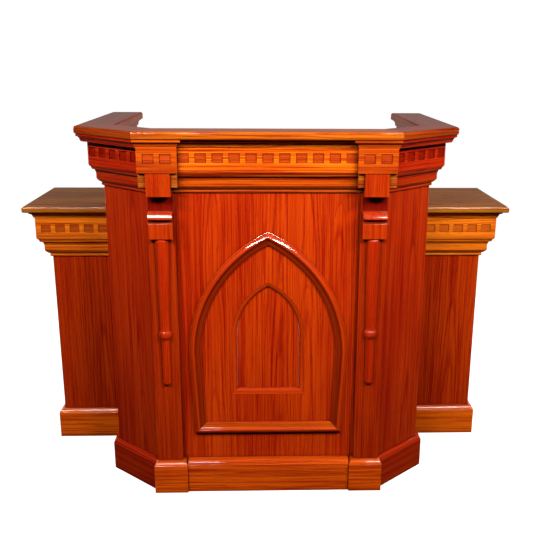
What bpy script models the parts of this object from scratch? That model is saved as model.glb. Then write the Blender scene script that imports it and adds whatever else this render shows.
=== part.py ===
"""Winged oak pulpit: a half-octagon reading desk between two lower box wings.

Metres, +Z up. The front faces -Y and the reader stands at +Y. The origin is on the floor under
the middle of the overall box. "Out" is the distance outwards from the outer faces of the body's
panels, and every applied board and moulding is stated by how far out it stands.
"""
import math

import bmesh
import bpy
from mathutils import Matrix, Vector

# ---------------------------------------------------------------- driving dimensions
RIM_TOP = 1.219             # height of the pulpit's rim
BODY_HALF_FRONT = 0.373     # centre to the corner of front and angle panels
BODY_HALF = 0.533           # centre to the outer face of a side panel
BODY_DEPTH = 0.717          # front panel to the back edge of the side panels
ANGLE_TURN = math.radians(41.3)   # plan angle between the front and an angle panel
WING_HALF = 0.788           # centre to the outer face of a wing
WING_SETBACK = 0.385        # front panel to wing front panel
WING_TOP = 0.919            # height of the wing tops

BOARD = 0.019               # common board thickness
GAP = 0.0003                # clearance between neighbouring pieces
MITRE_FRONT = math.tan(ANGLE_TURN / 2)
MITRE_SIDE = math.tan((math.pi / 2 - ANGLE_TURN) / 2)
MITRE_WING = 1.0

RIM_THICK = 0.025
RIM_OUT = 0.079
RIM_IN = 0.041
RIM_BACK = 0.010            # overhang of the rim's arms and wing tops at the back
FRIEZE_OUT = 0.042
CAPITAL_OUT = 0.061
BED_REACH = 0.013           # how far the bed mould flares
BED_HEIGHT = 0.024
FRIEZE_HEIGHT = 0.076
ARCHITRAVE_HEIGHT = 0.068
FASCIA_FOOT = 0.0235        # architrave bottom to the flat band above its bead and hollow
WING_STRETCH = 1.10         # the wings' architraves are this much taller
SQUARE_WIDE = 0.034
SQUARE_TALL = 0.029
SQUARE_DEEP = 0.004
SQUARE_PITCH = 0.0508
SQUARE_FOOT = 0.029         # frieze bottom to the squares' bottom
WING_SQUARE_FOOT = 0.0225
SQUARE_FIRST = 0.0365       # wing frieze's outer corner to the middle of its first square

BASE_HEIGHT = 0.1135
BASE_FACE = 0.100           # height of the base's flat face, under its rounded top
BASE_OUT_FRONT = 0.033      # the front base board is thicker than the others
PLINTH_OUT = 0.040
PLINTH_X = (0.272, 0.384)
PILASTER_X = (0.2885, BODY_HALF_FRONT)
CAPITAL_X = (0.271, 0.392)
IMPOST_INNER = 0.2735       # inner end of the impost blocks
IMPOST_OUT = 0.050
CORBEL_X = (0.2935, 0.3685)
CORBEL_FOOT = 0.8865
CORBEL_NOTCH = 0.036        # how far out the impost blocks are cut back behind the corbels
CORBEL_TONGUE = 0.008       # and the beads under them

ARCH_BAND = 0.039           # width of the raised arch moulding
ARCH_RISE = 0.019
ARCH_SPRING = 0.495
ARCH_CENTRE = 0.190         # each arc is struck from this far past the middle
ARCH_RADIUS = 0.4295        # to the middle of the band
ARCH_FOOT = (0.2275, 0.226)

LANCET_HALF = 0.120
LANCET_FOOT = 0.346
LANCET_SPRING = 0.554
LANCET_CENTRE = 0.0786
LANCET_BEVEL = 0.018
LANCET_DEEP = 0.012

WING_TOP_THICK = 0.021
WING_TOP_OUT = 0.0755

DESK_SLOPE = math.radians(17)
DESK_LOW = 0.985            # height of the desk's lower, reader's edge
DESK_BACK = 0.440           # front panel to that edge
SHELF_HEIGHT = 0.640
SHELF_BACK = 0.420

# ---------------------------------------------------------------- derived places
PANEL_Y = (RIM_OUT - BODY_DEPTH - RIM_BACK) / 2
BACK_Y = PANEL_Y + BODY_DEPTH
WING_Y = PANEL_Y + WING_SETBACK
RIM_UNDER = RIM_TOP - RIM_THICK
FRIEZE_TOP = RIM_UNDER - BED_HEIGHT
FRIEZE_FOOT = FRIEZE_TOP - FRIEZE_HEIGHT
ARCHITRAVE_FOOT = FRIEZE_FOOT - ARCHITRAVE_HEIGHT
WING_UNDER = WING_TOP - WING_TOP_THICK
COLUMN_X = sum(CORBEL_X) / 2

# how much each end of a run lengthens for each metre out, start then end
FRONT_MITRES = (MITRE_FRONT, MITRE_FRONT)
ANGLE_MITRES = (MITRE_FRONT, MITRE_SIDE)
SIDE_MITRES = (MITRE_SIDE, 0)
FRONT_CORNER = (BODY_HALF_FRONT, PANEL_Y)
SIDE_CORNER = (BODY_HALF, PANEL_Y + (BODY_HALF - BODY_HALF_FRONT) * math.tan(ANGLE_TURN))

ORANGE = (0.66, 0.16, 0.030)
RED = (0.50, 0.075, 0.012)
BROWN = (0.30, 0.10, 0.035)


# ---------------------------------------------------------------- scene helpers
def collection(name):
    made = bpy.data.collections.new(name)
    bpy.context.scene.collection.children.link(made)
    return made


def finish(name, colour, roughness):
    """The piece's own lacquered-oak material."""
    made = bpy.data.materials.new(name + "_finish")
    made.use_nodes = True
    shader = made.node_tree.nodes["Principled BSDF"]
    shader.inputs["Base Color"].default_value = (*colour, 1.0)
    shader.inputs["Roughness"].default_value = roughness
    shader.inputs["Metallic"].default_value = 0.0
    return made


def add_part(name, mesh, colour, matrix=None, roughness=0.28):
    made = bpy.data.objects.new(name, mesh)
    PARTS.objects.link(made)
    made.data.materials.append(finish(name, colour, roughness))
    if matrix is not None:
        made.matrix_world = matrix
    return made


def add_cutter(name, mesh, matrix=None):
    made = bpy.data.objects.new(name, mesh)
    CUTTERS.objects.link(made)
    made.hide_render = True
    made.display_type = "WIRE"
    if matrix is not None:
        made.matrix_world = matrix
    return made


def cut(part, cutter):
    modifier = part.modifiers.new(cutter.name, "BOOLEAN")
    modifier.operation = "DIFFERENCE"
    modifier.solver = "EXACT"
    modifier.object = cutter


def mesh_from(name, bm):
    bmesh.ops.recalc_face_normals(bm, faces=bm.faces)
    mesh = bpy.data.meshes.new(name)
    bm.to_mesh(mesh)
    bm.free()
    return mesh


def box_mesh(name, boxes):
    """One mesh of cubes, each given by its low and high corner."""
    bm = bmesh.new()
    for low, high in boxes:
        low, high = Vector(low), Vector(high)
        place = Matrix.Translation((low + high) / 2) @ Matrix.Diagonal((*(high - low), 1.0))
        bmesh.ops.create_cube(bm, size=1.0, matrix=place)
    return mesh_from(name, bm)


def outline_mesh(name, points, half_depth):
    """A flat outline in local XY, filled and extruded both ways along local Z."""
    curve = bpy.data.curves.new(name, "CURVE")
    curve.dimensions = "2D"
    curve.fill_mode = "BOTH"
    curve.extrude = half_depth
    spline = curve.splines.new("POLY")
    spline.points.add(len(points) - 1)
    for point, (x, y) in zip(spline.points, points):
        point.co = (x, y, 0.0, 1.0)
    spline.use_cyclic_u = True
    return mesh_of_curve(name, curve)


def mesh_of_curve(name, curve):
    guide = bpy.data.objects.new(name + "_curve", curve)
    PARTS.objects.link(guide)
    evaluated = guide.evaluated_get(bpy.context.evaluated_depsgraph_get())
    mesh = bpy.data.meshes.new_from_object(evaluated)
    bpy.data.objects.remove(guide)
    bm = bmesh.new()
    bm.from_mesh(mesh)
    bmesh.ops.remove_doubles(bm, verts=bm.verts, dist=0.00001)
    bpy.data.meshes.remove(mesh)
    return mesh_from(name, bm)


def loft_mesh(name, rings):
    """A closed skin through rings of points, which all hold the same number of points."""
    bm = bmesh.new()
    loops = [[bm.verts.new(point) for point in ring] for ring in rings]
    for lower, upper in zip(loops, loops[1:]):
        for index in range(len(lower)):
            follow = (index + 1) % len(lower)
            bm.faces.new((lower[index], lower[follow], upper[follow], upper[index]))
    bm.faces.new(loops[0])
    bm.faces.new(loops[-1])
    return mesh_from(name, bm)


# ---------------------------------------------------------------- profiles, as (out, up) points
def cove(start, end, steps=4):
    """A hollow quarter that leaves `start` straight up or down and arrives at `end` level."""
    turns = [math.pi / 2 * step / steps for step in range(steps + 1)]
    return [(start[0] + (end[0] - start[0]) * (1 - math.cos(turn)),
             start[1] + (end[1] - start[1]) * math.sin(turn)) for turn in turns]


def ovolo(start, end, steps=4):
    """A round quarter that leaves `start` level and arrives at `end` straight up or down."""
    turns = [math.pi / 2 * step / steps for step in range(steps + 1)]
    return [(start[0] + (end[0] - start[0]) * math.sin(turn),
             start[1] + (end[1] - start[1]) * (1 - math.cos(turn))) for turn in turns]


def board_profile(inner, outer, foot, top):
    return [(inner, foot), (outer, foot), (outer, top), (inner, top)]


def rim_profile():
    """The rim board with both edges rounded, and the small cove under its inner edge."""
    round_up = 0.007
    low, high = RIM_UNDER, RIM_TOP
    points = [(-BOARD - GAP, low)]
    points += ovolo((RIM_OUT - round_up, low), (RIM_OUT, low + round_up), 3)
    points += reversed(ovolo((RIM_OUT - round_up, high), (RIM_OUT, high - round_up), 3))
    points += ovolo((round_up - RIM_IN, high), (-RIM_IN, high - round_up), 3)
    points += [(-RIM_IN, low), (-0.035, low)]
    points += reversed(cove((-0.023, low - 0.020), (-0.034, low - 0.004), 3))
    points += [(-0.023, low - 0.024), (-BOARD - GAP, low - 0.024)]
    return points


def bed_points(foot, set_out):
    """The bed mould's face: a fillet, a hollow and a top fillet."""
    return ([(set_out, foot), (set_out, foot + 0.003)]
            + cove((set_out + 0.002, foot + 0.005), (set_out + BED_REACH, foot + 0.017))
            + [(set_out + BED_REACH, foot + BED_HEIGHT - GAP)])


def frieze_profile(foot, set_out):
    """A frieze board with its bed mould; the mould's foot stands `set_out` out."""
    top = foot + FRIEZE_HEIGHT
    return ([(GAP, foot + GAP), (FRIEZE_OUT, foot + GAP), (FRIEZE_OUT, top)]
            + bed_points(top, set_out) + [(GAP, top + BED_HEIGHT - GAP)])


def bead_points(foot, stretch=1.0):
    """The architrave's lower part: a bead, and an ogee that rises to the flat band."""
    face = ((0.0040, GAP), (0.0068, 0.0022), (0.0078, 0.0052), (0.0068, 0.0082), (0.0060, 0.0105),
            (0.0100, 0.0125), (0.0165, 0.0175), (0.0215, FASCIA_FOOT))
    return [(out, foot + up * stretch) for out, up in face]


def architrave_points(foot, stretch=1.0):
    """The architrave's face: bead, ogee, flat band, large hollow and top fillet."""
    reach = FRIEZE_OUT - 0.002
    upper = ([(0.0215, 0.0430)] + cove((0.0230, 0.0445), (0.0290, 0.0540))
             + [(reach - 0.0065, 0.0550), (reach - 0.0065, 0.0570)]
             + cove((reach - 0.0055, 0.0580), (reach, 0.0650), 3)
             + [(reach, ARCHITRAVE_HEIGHT - GAP)])
    return bead_points(foot, stretch) + [(out, foot + up * stretch) for out, up in upper]


def architrave_profile(foot):
    return ([(GAP, foot + GAP)] + architrave_points(foot)
            + [(GAP, foot + ARCHITRAVE_HEIGHT - GAP)])


def impost_profile(foot):
    """The architrave's bead and ogee run on under a plain block."""
    top = foot + ARCHITRAVE_HEIGHT - GAP
    return ([(GAP, foot + GAP)] + bead_points(foot)
            + [(IMPOST_OUT, foot + FASCIA_FOOT), (IMPOST_OUT, top), (GAP, top)])


def wing_cornice_profile():
    """Architrave, frieze and bed mould of a wing, worked as one cornice."""
    top = WING_UNDER - BED_HEIGHT
    frieze = top - FRIEZE_HEIGHT
    foot = frieze - ARCHITRAVE_HEIGHT * WING_STRETCH
    return ([(GAP, foot + GAP)] + architrave_points(foot, WING_STRETCH)
            + [(FRIEZE_OUT, frieze + 0.0005), (FRIEZE_OUT, top)]
            + bed_points(top + 0.0005, FRIEZE_OUT + 0.003)[:-1]
            + [(FRIEZE_OUT + 0.003 + BED_REACH, WING_UNDER - GAP), (GAP, WING_UNDER - GAP)])


def base_inset(height):
    """How far the rounded top of a base has drawn in at a height."""
    quirk = 0.0015
    if height <= BASE_FACE:
        return 0.0
    turn = (height - BASE_FACE) / (BASE_HEIGHT - GAP - BASE_FACE)
    return quirk + 0.0125 * (1 - math.sqrt(max(0.0, 1 - turn * turn)))


def base_heights():
    top = BASE_HEIGHT - GAP
    rise = top - BASE_FACE
    return ([0.0, BASE_FACE, BASE_FACE + 0.001]
            + [BASE_FACE + rise * part for part in (0.4, 0.7, 0.88, 0.97, 1.0)])


def base_profile(out=BOARD):
    return ([(GAP, 0.0)] + [(out - base_inset(height), height) for height in base_heights()]
            + [(GAP, BASE_HEIGHT - GAP)])


# ---------------------------------------------------------------- runs: a profile along a wall
def run(name, profile, start, end, grow, colour):
    """Sweep a profile from start to end in plan, with its outside on the right-hand side.

    grow says how much each end lengthens for each metre out: a mitre's tangent, or 0 for square.
    """
    start, end = Vector(start), Vector(end)
    along = (end - start).normalized()
    middle = (start + end) / 2
    half = (end - start).length / 2
    mesh = outline_mesh(name, profile, half)
    for vertex in mesh.vertices:
        side = 0 if vertex.co.z > 0 else 1
        reach = half + grow[side] * vertex.co.x - GAP / 2
        vertex.co.z = reach if side == 0 else -reach
    matrix = Matrix(((along.y, 0, -along.x, middle.x),
                     (-along.x, 0, -along.y, middle.y),
                     (0, 1, 0, 0),
                     (0, 0, 0, 1)))
    return add_part(name, mesh, colour, matrix)


def mirrored(point):
    return (-point[0], point[1])


def pair_of_runs(name, profile, start, end, grow, colour):
    """The same run on the right and on the left of the body."""
    right = run(name + "_right", profile, start, end, grow, colour)
    left = run(name + "_left", profile, mirrored(end), mirrored(start), grow[::-1], colour)
    return right, left


def carve_squares(part, low, along_positions, out=FRIEZE_OUT):
    """Sink a row of shallow squares, bottoms at `low`; positions run from the run's middle."""
    boxes = [((out - SQUARE_DEEP, low, -at - SQUARE_WIDE / 2),
              (out + 0.01, low + SQUARE_TALL, -at + SQUARE_WIDE / 2)) for at in along_positions]
    cut(part, add_cutter(part.name + "_squares", box_mesh(part.name + "_squares", boxes),
                         part.matrix_world.copy()))


def row(count, shift=0.0):
    """Positions of a row of squares, `shift` along from centred."""
    return [shift + (index - (count - 1) / 2) * SQUARE_PITCH for index in range(count)]


def make_room_for_returns(front_frieze):
    """Scribe the front bed mould's ends to the flare of the capitals' returned bed moulds."""
    faces = [(0.0, FRIEZE_TOP)] + [(out, up) for out, up in bed_points(FRIEZE_TOP + 0.0005, 0.0)]
    for side, word in ((1, "right"), (-1, "left")):
        rings = []
        for flare, height in faces + [(BED_REACH, RIM_TOP)]:
            near, far = CAPITAL_X[0] - flare, CAPITAL_X[0] + 0.1
            plan = [(near, PANEL_Y - 0.1), (far, PANEL_Y - 0.1), (far, PANEL_Y + 0.1),
                    (near, PANEL_Y + 0.1)]
            rings.append([(side * x, y, height) for x, y in plan])
        name = "bed_return_" + word
        cut(front_frieze, add_cutter(name, loft_mesh(name, rings)))


# ---------------------------------------------------------------- the body's boards
def build_panels():
    wall = board_profile(-BOARD, 0.0, 0.0, RIM_UNDER - GAP)
    front = run("front_panel", wall, mirrored(FRONT_CORNER), FRONT_CORNER, FRONT_MITRES, RED)
    pair_of_runs("angle_panel", wall, FRONT_CORNER, SIDE_CORNER, ANGLE_MITRES, RED)
    pair_of_runs("side_panel", wall, SIDE_CORNER, (BODY_HALF, BACK_Y), SIDE_MITRES, RED)
    return front


def build_rim():
    profile = rim_profile()
    back = (BODY_HALF, BACK_Y + RIM_BACK)
    run("rim_front", profile, mirrored(FRONT_CORNER), FRONT_CORNER, FRONT_MITRES, ORANGE)
    pair_of_runs("rim_angle", profile, FRONT_CORNER, SIDE_CORNER, ANGLE_MITRES, ORANGE)
    pair_of_runs("rim_arm", profile, SIDE_CORNER, back, SIDE_MITRES, ORANGE)


def build_friezes():
    """The frieze boards with their bed moulds, and the architraves under them."""
    back = (BODY_HALF, BACK_Y)
    centre = frieze_profile(FRIEZE_FOOT, FRIEZE_OUT + 0.002)
    front = run("frieze_front", centre, (-CAPITAL_X[0], PANEL_Y), (CAPITAL_X[0], PANEL_Y),
                (0, 0), ORANGE)
    squares = FRIEZE_FOOT + SQUARE_FOOT
    carve_squares(front, squares, row(11))
    make_room_for_returns(front)
    side = frieze_profile(FRIEZE_FOOT, CAPITAL_OUT)
    for part in pair_of_runs("frieze_angle", side, FRONT_CORNER, SIDE_CORNER, ANGLE_MITRES, ORANGE):
        carve_squares(part, squares, row(5))
    for part in pair_of_runs("frieze_side", side, SIDE_CORNER, back, SIDE_MITRES, ORANGE):
        carve_squares(part, squares, row(11))
    moulding = architrave_profile(ARCHITRAVE_FOOT)
    run("architrave_front", moulding, (-IMPOST_INNER, PANEL_Y), (IMPOST_INNER, PANEL_Y),
        (0, 0), ORANGE)
    pair_of_runs("architrave_angle", moulding, FRONT_CORNER, SIDE_CORNER, ANGLE_MITRES, ORANGE)
    pair_of_runs("architrave_side", moulding, SIDE_CORNER, back, SIDE_MITRES, ORANGE)


def build_baseboards():
    profile = base_profile()
    run("baseboard_front", base_profile(BASE_OUT_FRONT), (-PLINTH_X[0], PANEL_Y),
        (PLINTH_X[0], PANEL_Y), (0, 0), ORANGE)
    pair_of_runs("baseboard_angle", profile, FRONT_CORNER, SIDE_CORNER, ANGLE_MITRES, ORANGE)
    pair_of_runs("baseboard_side", profile, SIDE_CORNER, (BODY_HALF, WING_Y - BOARD - GAP),
                 SIDE_MITRES, ORANGE)


# ---------------------------------------------------------------- the two pilaster orders
def corner_ring(inner_x, out, outer_x, height, side):
    """Plan of a block that stands on the front face and stops at the corner's mitre plane."""
    edge = BODY_HALF_FRONT + MITRE_FRONT * GAP - GAP
    shoulder = max(2 * GAP, (outer_x + GAP - BODY_HALF_FRONT) / MITRE_FRONT)
    plan = [(inner_x, GAP), (inner_x, out), (outer_x, out),
            (outer_x, min(shoulder, out - GAP)), (min(edge, outer_x), GAP)]
    return [(side * x, PANEL_Y - away, height) for x, away in plan]


def build_capital(name, side):
    """The frieze block over a pilaster, with the bed mould returned round it."""
    block = (CAPITAL_X[0] + GAP, CAPITAL_OUT, CAPITAL_X[1])
    rings = [corner_ring(*block, FRIEZE_FOOT + GAP, side), corner_ring(*block, FRIEZE_TOP, side)]
    for out, height in bed_points(FRIEZE_TOP + 0.0005, CAPITAL_OUT):
        height = min(height, RIM_UNDER - GAP)
        flare = out - CAPITAL_OUT
        outer_x = BODY_HALF_FRONT + MITRE_FRONT * out - GAP
        rings.append(corner_ring(CAPITAL_X[0] + GAP - flare, out, outer_x, height, side))
    part = add_part(name, loft_mesh(name, rings), ORANGE)
    middle = sum(CAPITAL_X) / 2
    low = FRIEZE_FOOT + SQUARE_FOOT
    boxes = []
    for at in row(2):
        across = sorted((side * (middle + at) - SQUARE_WIDE / 2, side * (middle + at) + SQUARE_WIDE / 2))
        face = PANEL_Y - CAPITAL_OUT
        boxes.append(((across[0], face - 0.01, low), (across[1], face + SQUARE_DEEP, low + SQUARE_TALL)))
    cut(part, add_cutter(name + "_squares", box_mesh(name + "_squares", boxes)))


def across_column(side):
    """Places a side view drawn as (out, up), extruded across the middle of a pilaster."""
    return Matrix(((0, 0, -1, side * COLUMN_X), (-1, 0, 0, PANEL_Y), (0, 1, 0, 0), (0, 0, 0, 1)))


def build_impost(name, side):
    """The block between a corbel's head and the wall, notched for that head."""
    start, end = (IMPOST_INNER, PANEL_Y), FRONT_CORNER
    grow = (0, MITRE_FRONT)
    if side < 0:
        start, end, grow = mirrored(end), mirrored(start), grow[::-1]
    part = run(name, impost_profile(ARCHITRAVE_FOOT), start, end, grow, ORANGE)
    low, high = ARCHITRAVE_FOOT - 0.01, FRIEZE_FOOT + 0.01
    ledge = ARCHITRAVE_FOOT + FASCIA_FOOT + GAP
    notch = [(CORBEL_TONGUE, low), (0.09, low), (0.09, high), (CORBEL_NOTCH, high),
             (CORBEL_NOTCH, ledge), (CORBEL_TONGUE, ledge)]
    half = (CORBEL_X[1] - CORBEL_X[0]) / 2 + GAP
    cut(part, add_cutter(name + "_notch", outline_mesh(name + "_notch", notch, half),
                         across_column(side)))


def corbel_outline():
    """Side view of a corbel, as (out, up) points: head, scotia, nosing, neck and lower block."""
    back = BOARD + GAP
    tongue, notch = CORBEL_TONGUE + GAP, CORBEL_NOTCH + GAP
    ledge = ARCHITRAVE_FOOT + FASCIA_FOOT
    head_foot = 1.022
    points = [(back, CORBEL_FOOT), (back, ARCHITRAVE_FOOT), (tongue, ARCHITRAVE_FOOT), (tongue, ledge),
              (notch, ledge), (notch, FRIEZE_FOOT - GAP), (0.058, FRIEZE_FOOT - GAP), (0.058, head_foot)]
    points += cove((0.0245, head_foot), (0.043, 0.968), 5)
    nose = [math.pi * step / 6 for step in range(7)]
    points += [(0.0445 + 0.0055 * math.sin(turn), 0.9600 + 0.0065 * math.cos(turn)) for turn in nose]
    points += reversed(cove((0.036, 0.9365), (0.042, 0.9515), 3))
    points += [(0.041, 0.9345), (0.041, CORBEL_FOOT)]
    return points


def build_corbel(name, side):
    half = (CORBEL_X[1] - CORBEL_X[0]) / 2
    add_part(name, outline_mesh(name, corbel_outline(), half), ORANGE, across_column(side))


def column_profile():
    """Half column from top to foot, as (radius, height): neck, tapered shaft, ring, thin shaft."""
    ring = [math.pi * step / 6 for step in range(7)]
    points = [(0.0, CORBEL_FOOT - GAP), (0.0190, CORBEL_FOOT - GAP), (0.0190, 0.883),
              (0.0222, 0.880), (0.0222, 0.850), (0.0196, 0.690), (0.0172, 0.590)]
    points += [(0.0178 + 0.0042 * math.sin(turn), 0.5685 + 0.0125 * math.cos(turn)) for turn in ring]
    points += [(0.0172, 0.5545), (0.0150, 0.5500), (0.0145, 0.5440), (0.0145, 0.4020)]
    points += [(0.0128, 0.3960), (0.0085, 0.3930), (0.0, 0.3925)]
    return points


def build_column(name, side, cutter):
    """A turned column, split down its length and planted on the pilaster."""
    bm = bmesh.new()
    loop = [bm.verts.new((radius, 0.0, height)) for radius, height in column_profile()]
    for upper, lower in zip(loop, loop[1:]):
        bm.edges.new((upper, lower))
    mesh = bpy.data.meshes.new(name)
    bm.to_mesh(mesh)
    bm.free()
    place = Matrix.Translation((side * COLUMN_X, PANEL_Y - BOARD - GAP, 0.0))
    part = add_part(name, mesh, ORANGE, place)
    turned = part.modifiers.new("turned", "SCREW")
    turned.axis = "Z"
    turned.steps = 20
    turned.render_steps = 20
    turned.use_merge_vertices = True
    turned.merge_threshold = 0.00005
    cut(part, cutter)


def build_pilaster(name, side):
    profile = board_profile(GAP, BOARD, BASE_HEIGHT, ARCHITRAVE_FOOT - GAP)
    start, end = (PILASTER_X[0], PANEL_Y), (PILASTER_X[1], PANEL_Y)
    if side < 0:
        start, end = mirrored(end), mirrored(start)
    run(name, profile, start, end, (0, 0), ORANGE)


def build_plinth(name, side):
    """The block under a pilaster, its rounded top returned on three sides."""
    rings = []
    for height in base_heights():
        inset = base_inset(height)
        rings.append(corner_ring(PLINTH_X[0] + GAP + inset, PLINTH_OUT - inset,
                                 PLINTH_X[1] - inset, height, side))
    add_part(name, loft_mesh(name, rings), ORANGE)


def build_orders():
    wide = BODY_HALF_FRONT + 0.05
    front = PANEL_Y - BOARD - GAP
    backs = box_mesh("column_backs", [((-wide, front, 0.3), (wide, front + 0.04, 1.0))])
    cutter = add_cutter("column_backs", backs)
    for side, word in ((1, "right"), (-1, "left")):
        build_plinth("plinth_" + word, side)
        build_pilaster("pilaster_" + word, side)
        build_column("half_column_" + word, side, cutter)
        build_corbel("corbel_" + word, side)
        build_impost("impost_" + word, side)
        build_capital("capital_" + word, side)


# ---------------------------------------------------------------- arch and lancet on the front panel
def arch_section():
    """Section of the arch moulding: (across from the band's middle, rise off the panel)."""
    half = ARCH_BAND / 2
    top = ARCH_RISE
    points = [(half, GAP), (half, 0.005), (half - 0.003, 0.0065)]
    points += [(half - 0.004 - 0.008 * (1 - math.cos(turn)), 0.0075 + (top - 0.0075) * math.sin(turn))
               for turn in (0.0, 0.45, 0.95, math.pi / 2)]
    points += [(half - 0.0165, top - 0.0006), (0.000, top - 0.003), (-0.006, 0.0125),
               (-0.011, 0.0100), (-half + 0.003, 0.0070), (-half, 0.0055), (-half, GAP)]
    return points


def arch_path(side):
    """Middle of the band from below the foot to past the apex, as (x, up) points and normals."""
    spring = (ARCH_RADIUS - ARCH_CENTRE, ARCH_SPRING)
    leg = Vector((spring[0] - ARCH_FOOT[0], spring[1] - ARCH_FOOT[1])).normalized()
    below = 0.03
    stations = [((ARCH_FOOT[0] - leg.x * below, ARCH_FOOT[1] - leg.y * below), (leg.y, -leg.x)),
                (spring, (1.0, 0.0))]
    apex_turn = math.acos(ARCH_CENTRE / ARCH_RADIUS)
    steps = 12
    for step in range(1, steps + 2):
        turn = apex_turn * step / steps
        across = (math.cos(turn), math.sin(turn))
        stations.append(((ARCH_RADIUS * across[0] - ARCH_CENTRE,
                          ARCH_SPRING + ARCH_RADIUS * across[1]), across))
    return [((side * x, up), (side * nx, nz)) for (x, up), (nx, nz) in stations]


def trimmed(name, mesh, planes):
    """Saw a mesh off at planes, each (point, normal), keeping the side behind the normal."""
    bm = bmesh.new()
    bm.from_mesh(mesh)
    for point, normal in planes:
        geometry = bm.verts[:] + bm.edges[:] + bm.faces[:]
        bmesh.ops.bisect_plane(bm, geom=geometry, dist=0.000001, plane_co=point,
                               plane_no=normal, clear_outer=True)
        rim = [edge for edge in bm.edges if edge.is_boundary]
        bmesh.ops.edgeloop_fill(bm, edges=rim)
    bpy.data.meshes.remove(mesh)
    return mesh_from(name, bm)


def sweep_section(name, stations, planes, colour):
    """Carry the arch's section along stations on the front panel, then mitre its ends."""
    rings = []
    for (x, up), (nx, nz) in stations:
        rings.append([(x + nx * across, PANEL_Y - rise, up + nz * across)
                      for across, rise in arch_section()])
    add_part(name, trimmed(name, loft_mesh(name, rings), planes), colour)


def build_arch():
    """Two arched legs and a sill, mitred at the feet and at the apex."""
    foot_x, foot_z = ARCH_FOOT
    for side, word in ((1, "right"), (-1, "left")):
        apex = ((side * GAP / 2, 0.0, 0.0), (-side, 0.0, 0.0))
        mitre = ((side * foot_x, 0.0, foot_z + GAP / 2), (-side * 0.70, 0.0, -0.714))
        sweep_section("arch_" + word, arch_path(side), (apex, mitre), RED)
    beyond = foot_x + 0.03
    sill = [((-beyond, foot_z), (0.0, -1.0)), ((beyond, foot_z), (0.0, -1.0))]
    mitres = [((side * foot_x, 0.0, foot_z - GAP / 2), (side * 0.70, 0.0, 0.714)) for side in (1, -1)]
    sweep_section("arch_sill", sill, mitres, RED)


def lancet_outline(inset, steps=9):
    """The pointed sunk panel's outline drawn in by `inset`, as (x, up) points."""
    half = LANCET_HALF - inset
    radius = LANCET_HALF + LANCET_CENTRE - inset
    apex_turn = math.acos(LANCET_CENTRE / radius)
    points = [(-half, LANCET_FOOT + inset), (half, LANCET_FOOT + inset)]
    right = [(radius * math.cos(apex_turn * step / steps) - LANCET_CENTRE,
              LANCET_SPRING + radius * math.sin(apex_turn * step / steps)) for step in range(steps)]
    apex = [(0.0, LANCET_SPRING + radius * math.sin(apex_turn))]
    return points + right + apex + [(-x, up) for x, up in reversed(right)]


def build_lancet(front_panel):
    """Cut the bevelled pointed opening through the front panel and fit the sunk panel in it."""
    rings = []
    for deep in (-0.002, LANCET_DEEP, BOARD + 0.002):
        inset = LANCET_BEVEL * min(deep, LANCET_DEEP) / LANCET_DEEP
        rings.append([(x, PANEL_Y + deep, up) for x, up in lancet_outline(inset)])
    cut(front_panel, add_cutter("lancet_opening", loft_mesh("lancet_opening", rings)))
    rings = [[(x, PANEL_Y + deep, up) for x, up in lancet_outline(LANCET_BEVEL + GAP)]
             for deep in (LANCET_DEEP, BOARD)]
    add_part("lancet_panel", loft_mesh("lancet_panel", rings), RED)


# ---------------------------------------------------------------- inside the body
def inner_plan(back, clear):
    """Plan of a board that fills the body from its front wall to `back`, inside the walls."""
    inset = BOARD + clear
    corner = BODY_HALF_FRONT - MITRE_FRONT * inset
    side_y = SIDE_CORNER[1] + MITRE_SIDE * inset
    right = [(corner, PANEL_Y + inset), (BODY_HALF - inset, side_y), (BODY_HALF - inset, PANEL_Y + back)]
    return right + [mirrored(point) for point in reversed(right)]


def build_shelf(name, top, back):
    mesh = outline_mesh(name, inner_plan(back, GAP), BOARD / 2)
    add_part(name, mesh, BROWN, Matrix.Translation((0, 0, top - BOARD / 2)), 0.4)


def build_desk():
    """The sloping desk, with a stop along its lower edge, which faces the reader."""
    pivot = PANEL_Y + DESK_BACK
    plan = [(x, (y - pivot) / math.cos(DESK_SLOPE)) for x, y in inner_plan(DESK_BACK, 0.007)]
    tilt = Matrix.Translation((0, pivot, DESK_LOW)) @ Matrix.Rotation(-DESK_SLOPE, 4, "X")
    low = tilt @ Matrix.Translation((0, 0, -BOARD / 2))
    add_part("reading_desk", outline_mesh("reading_desk", plan, BOARD / 2), BROWN, low, 0.4)
    half = BODY_HALF - BOARD - 0.045
    stop = box_mesh("book_stop", [((-half, -0.034, GAP), (half, -0.014, 0.024))])
    add_part("book_stop", stop, BROWN, tilt, 0.4)


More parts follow.
